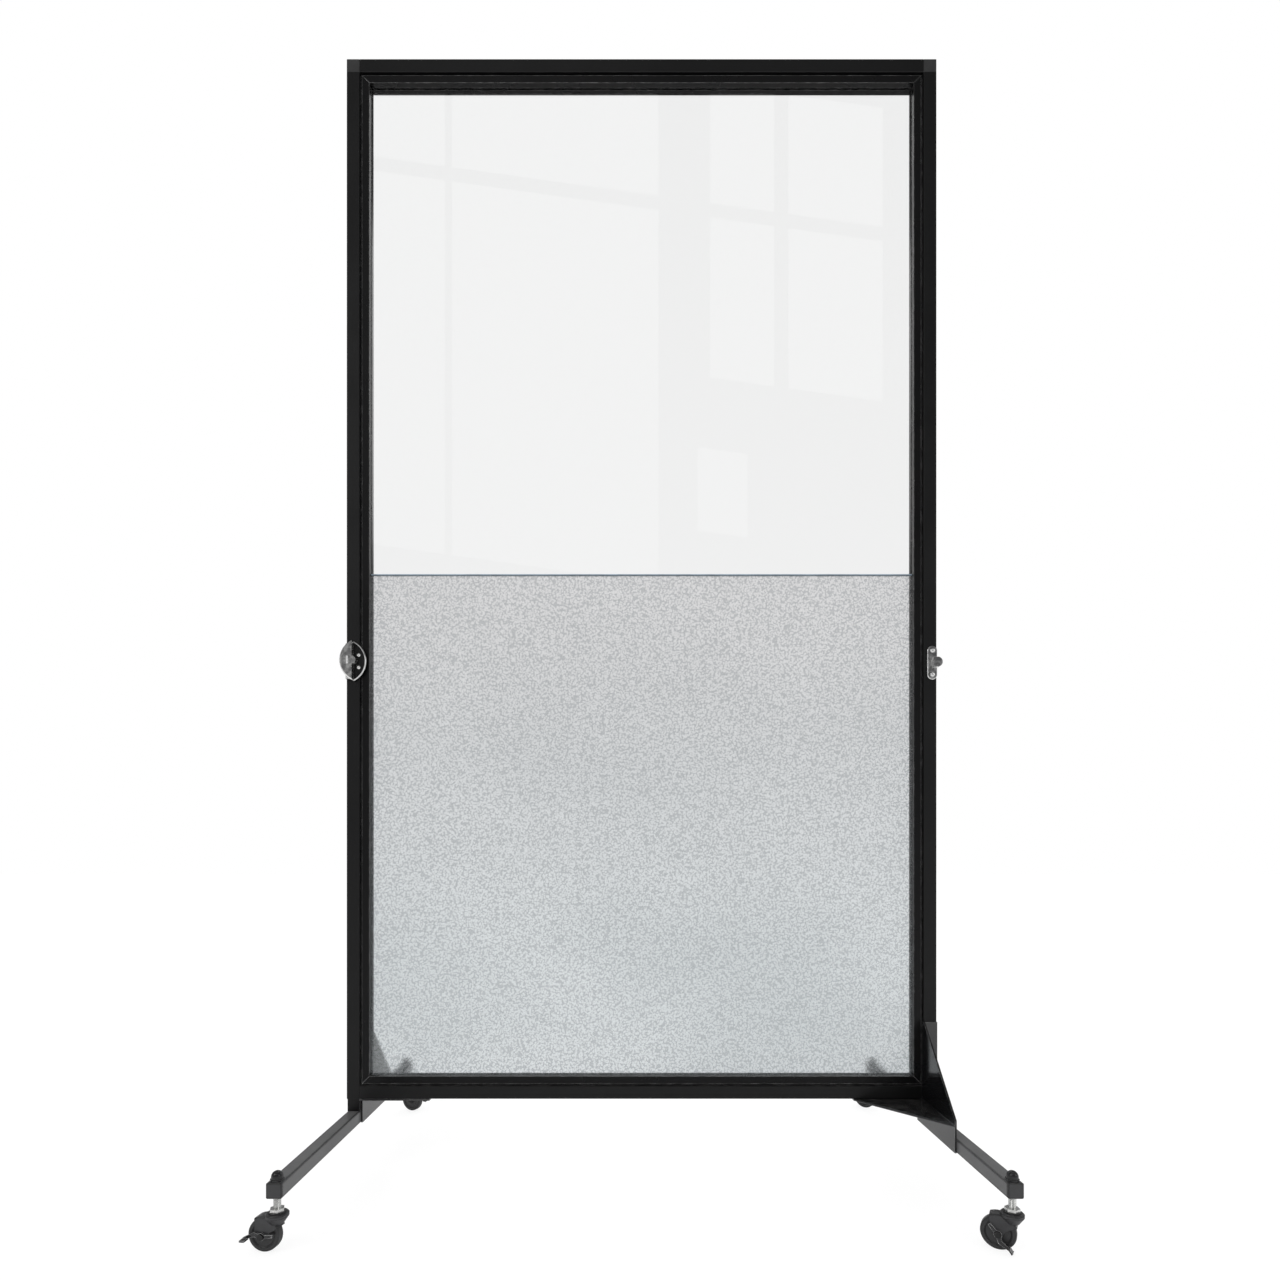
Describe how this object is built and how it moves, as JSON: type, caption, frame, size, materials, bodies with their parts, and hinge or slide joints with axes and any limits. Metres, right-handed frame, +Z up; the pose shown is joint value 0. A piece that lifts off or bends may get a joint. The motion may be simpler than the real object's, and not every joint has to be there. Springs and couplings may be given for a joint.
{
  "type": "acrylic partition panel on casters",
  "caption": "Free-standing black-framed partition: clear acrylic above, pebbled frosted acrylic below, on two legs with hooded swivel casters and an edge latch.",
  "frame": {"origin": "on the floor under the middle of the panel", "axes": "+X to the right along the panel, +Y to the back through it, +Z up"},
  "size_m": [1.0411, 0.6376, 1.879],
  "materials": {
    "frame_black": "satin black powder coat",
    "corner_black": "matt charcoal",
    "channel_black": "satin black",
    "clear_acrylic": "clear polished acrylic",
    "textured_acrylic": "frosted acrylic with a fine pebbled face",
    "joint_strip": "blue-grey plastic",
    "leg_black": "satin charcoal powder coat",
    "plug_black": "matt black",
    "nut_black": "gloss black",
    "gusset_black": "gloss black powder coat",
    "zinc": "bright zinc plate",
    "caster_black": "moulded black nylon",
    "lever_black": "black with worn edges",
    "latch_grey": "grey metal with a bright rim"
  },
  "bodies": {
    "root": {"left_stile": "frame_black", "right_stile": "frame_black", "top_rail": "frame_black", "bottom_rail": "frame_black", "top_left_corner_block": "corner_black", "top_right_corner_block": "corner_black", "left_glazing_channel": "channel_black", "right_glazing_channel": "channel_black", "top_glazing_channel": "channel_black", "bottom_glazing_channel": "channel_black", "clear_upper_sheet": "clear_acrylic", "textured_lower_sheet": "textured_acrylic", "sheet_joint_strip": "joint_strip", "left_leg_tube": "leg_black", "left_leg_end_plugs": "plug_black", "left_leg_domed_nuts": "nut_black", "left_riser": "leg_black", "left_gusset": "gusset_black", "right_leg_tube": "leg_black", "right_leg_end_plugs": "plug_black", "right_leg_domed_nuts": "nut_black", "right_riser": "leg_black", "right_gusset": "gusset_black", "front_left_caster_stem": "zinc", "front_right_caster_stem": "zinc", "rear_left_caster_stem": "zinc", "rear_right_caster_stem": "zinc", "latch_base": "latch_grey", "latch_keeper": "latch_grey"},
    "front_left_swivel": {"front_left_caster_hood": "caster_black", "front_left_caster_axle": "zinc"},
    "front_left_wheels": {"front_left_caster_wheels": "caster_black"},
    "front_left_lever": {"front_left_brake_lever": "lever_black"},
    "front_right_swivel": {"front_right_caster_hood": "caster_black", "front_right_caster_axle": "zinc"},
    "front_right_wheels": {"front_right_caster_wheels": "caster_black"},
    "front_right_lever": {"front_right_brake_lever": "lever_black"},
    "rear_left_swivel": {"rear_left_caster_hood": "caster_black", "rear_left_caster_axle": "zinc"},
    "rear_left_wheels": {"rear_left_caster_wheels": "caster_black"},
    "rear_left_lever": {"rear_left_brake_lever": "lever_black"},
    "rear_right_swivel": {"rear_right_caster_hood": "caster_black", "rear_right_caster_axle": "zinc"},
    "rear_right_wheels": {"rear_right_caster_wheels": "caster_black"},
    "rear_right_lever": {"rear_right_brake_lever": "lever_black"},
    "latch": {"latch_lever": "latch_grey"}
  },
  "joints": [
    {"name": "front_left_caster_turn", "type": "hinge", "parent": "root", "child": "front_left_swivel", "pos_m": [-0.489, -0.2945, 0.0535], "axis": [0, 0, 1], "continuous": true},
    {"name": "front_left_wheel_roll", "type": "hinge", "parent": "front_left_swivel", "child": "front_left_wheels", "pos_m": [-0.5054, -0.2919, 0.0225], "axis": [0.1564, 0.9877, 0], "continuous": true},
    {"name": "front_left_brake", "type": "hinge", "parent": "front_left_swivel", "child": "front_left_lever", "pos_m": [-0.5054, -0.2919, 0.0225], "axis": [0.1564, 0.9877, 0], "range_deg": [0, 20]},
    {"name": "front_right_caster_turn", "type": "hinge", "parent": "root", "child": "front_right_swivel", "pos_m": [0.489, -0.2945, 0.0535], "axis": [0, 0, 1], "continuous": true},
    {"name": "front_right_wheel_roll", "type": "hinge", "parent": "front_right_swivel", "child": "front_right_wheels", "pos_m": [0.47462, -0.2862, 0.0225], "axis": [0.5, 0.866, 0], "continuous": true},
    {"name": "front_right_brake", "type": "hinge", "parent": "front_right_swivel", "child": "front_right_lever", "pos_m": [0.47462, -0.2862, 0.0225], "axis": [-0.5, -0.866, 0], "range_deg": [0, 20]},
    {"name": "rear_left_caster_turn", "type": "hinge", "parent": "root", "child": "rear_left_swivel", "pos_m": [-0.489, 0.2945, 0.0535], "axis": [0, 0, 1], "continuous": true},
    {"name": "rear_left_wheel_roll", "type": "hinge", "parent": "rear_left_swivel", "child": "rear_left_wheels", "pos_m": [-0.47396, 0.28748, 0.0225], "axis": [-0.4226, -0.9063, 0], "continuous": true},
    {"name": "rear_left_brake", "type": "hinge", "parent": "rear_left_swivel", "child": "rear_left_lever", "pos_m": [-0.47396, 0.28748, 0.0225], "axis": [-0.4226, -0.9063, 0], "range_deg": [0, 20]},
    {"name": "rear_right_caster_turn", "type": "hinge", "parent": "root", "child": "rear_right_swivel", "pos_m": [0.489, 0.2945, 0.0535], "axis": [0, 0, 1], "continuous": true},
    {"name": "rear_right_wheel_roll", "type": "hinge", "parent": "rear_right_swivel", "child": "rear_right_wheels", "pos_m": [0.47726, 0.30624, 0.0225], "axis": [0.7071, 0.7071, 0], "continuous": true},
    {"name": "rear_right_brake", "type": "hinge", "parent": "rear_right_swivel", "child": "rear_right_lever", "pos_m": [0.47726, 0.30624, 0.0225], "axis": [0.7071, 0.7071, 0], "range_deg": [0, 20]},
    {"name": "latch_turn", "type": "hinge", "parent": "root", "child": "latch", "pos_m": [-0.4865, -0.0251, 0.857], "axis": [0, 1, 0], "range_deg": [0, 180]}
  ]
}
